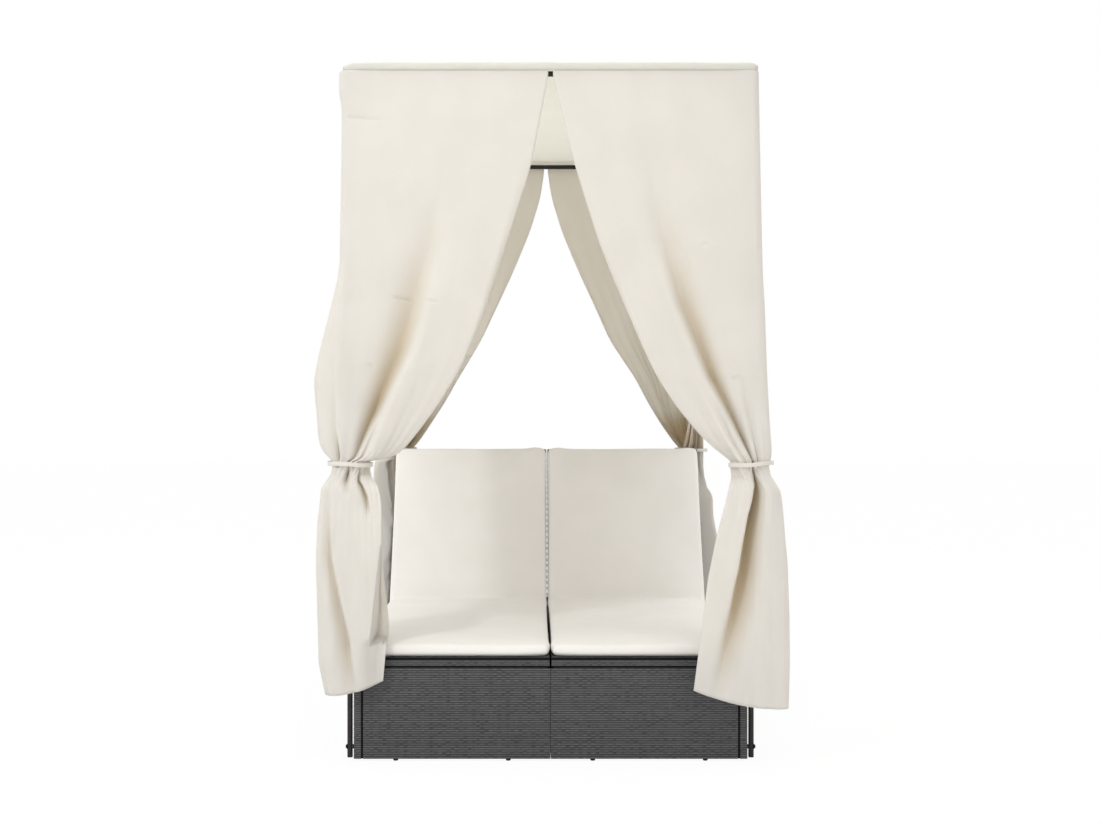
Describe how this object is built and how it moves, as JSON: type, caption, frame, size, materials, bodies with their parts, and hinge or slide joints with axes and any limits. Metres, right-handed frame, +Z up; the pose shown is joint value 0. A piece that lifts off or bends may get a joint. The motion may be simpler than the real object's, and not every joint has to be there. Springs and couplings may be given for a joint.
{
  "type": "outdoor daybed with canopy",
  "caption": "Double outdoor daybed of woven loungers with raised tilting backrests, under a tubular canopy with a cloth roof and tied corner curtains.",
  "frame": {"origin": "on the floor under the middle of the base", "axes": "+X runs across the two loungers to the right as seen from the foot end, +Y runs from the foot end to the head end, +Z is up"},
  "size_m": [1.3855, 2.047, 2.029],
  "materials": {
    "rattan": "woven poly-rattan on a steel frame, satin",
    "steel_black": "black powder coat, satin",
    "cushion_fabric": "matte woven polyester",
    "curtain_fabric": "matte fine woven polyester",
    "plastic_black": "moulded, matte"
  },
  "bodies": {
    "base": {"left_outer_side_panel": "rattan", "left_inner_side_panel": "rattan", "left_front_panel": "rattan", "left_rear_panel": "rattan", "left_seat_frame": "rattan", "left_hinge_rod": "steel_black", "left_seat_pad": "cushion_fabric", "left_front_left_foot": "plastic_black", "left_front_right_foot": "plastic_black", "left_rear_left_foot": "plastic_black", "left_rear_right_foot": "plastic_black", "right_outer_side_panel": "rattan", "right_inner_side_panel": "rattan", "right_front_panel": "rattan", "right_rear_panel": "rattan", "right_seat_frame": "rattan", "right_hinge_rod": "steel_black", "right_seat_pad": "cushion_fabric", "right_front_left_foot": "plastic_black", "right_front_right_foot": "plastic_black", "right_rear_left_foot": "plastic_black", "right_rear_right_foot": "plastic_black", "front_low_joining_bolt": "steel_black", "front_high_joining_bolt": "steel_black", "rear_low_joining_bolt": "steel_black", "rear_high_joining_bolt": "steel_black", "front_left_post": "steel_black", "front_left_post_lower_bolt": "steel_black", "front_left_post_upper_bolt": "steel_black", "front_left_curtain": "curtain_fabric", "front_left_tie": "curtain_fabric", "front_right_post": "steel_black", "front_right_post_lower_bolt": "steel_black", "front_right_post_upper_bolt": "steel_black", "front_right_curtain": "curtain_fabric", "front_right_tie": "curtain_fabric", "rear_left_post": "steel_black", "rear_left_post_lower_bolt": "steel_black", "rear_left_post_upper_bolt": "steel_black", "rear_left_curtain": "curtain_fabric", "rear_left_tie": "curtain_fabric", "rear_right_post": "steel_black", "rear_right_post_lower_bolt": "steel_black", "rear_right_post_upper_bolt": "steel_black", "rear_right_curtain": "curtain_fabric", "rear_right_tie": "curtain_fabric", "front_top_rail": "steel_black", "rear_top_rail": "steel_black", "left_top_rail": "steel_black", "right_top_rail": "steel_black", "roof_cloth": "curtain_fabric"},
    "left_backrest": {"left_backrest_frame": "rattan", "left_back_pad": "cushion_fabric"},
    "right_backrest": {"right_backrest_frame": "rattan", "right_back_pad": "cushion_fabric"},
    "left_bail": {"left_support_bail": "steel_black"},
    "right_bail": {"right_support_bail": "steel_black"}
  },
  "joints": [
    {"name": "left_backrest_tilt", "type": "hinge", "parent": "base", "child": "left_backrest", "pos_m": [-0.287, 0.27, 0.288], "axis": [1, 0, 0], "range_deg": [-62, 0]},
    {"name": "right_backrest_tilt", "type": "hinge", "parent": "base", "child": "right_backrest", "pos_m": [0.287, 0.27, 0.288], "axis": [1, 0, 0], "range_deg": [-62, 0]},
    {"name": "left_bail_swing", "type": "hinge", "parent": "left_backrest", "child": "left_bail", "pos_m": [-0.287, 0.4027, 0.47793], "axis": [1, 0, 0], "range_deg": [0, 96.74]},
    {"name": "right_bail_swing", "type": "hinge", "parent": "right_backrest", "child": "right_bail", "pos_m": [0.287, 0.4027, 0.47793], "axis": [1, 0, 0], "range_deg": [0, 96.74]}
  ],
  "couplings": [
    {"joint": "left_bail_swing", "follows": "left_backrest_tilt", "ratio": -1.5602},
    {"joint": "right_bail_swing", "follows": "right_backrest_tilt", "ratio": -1.5602}
  ]
}
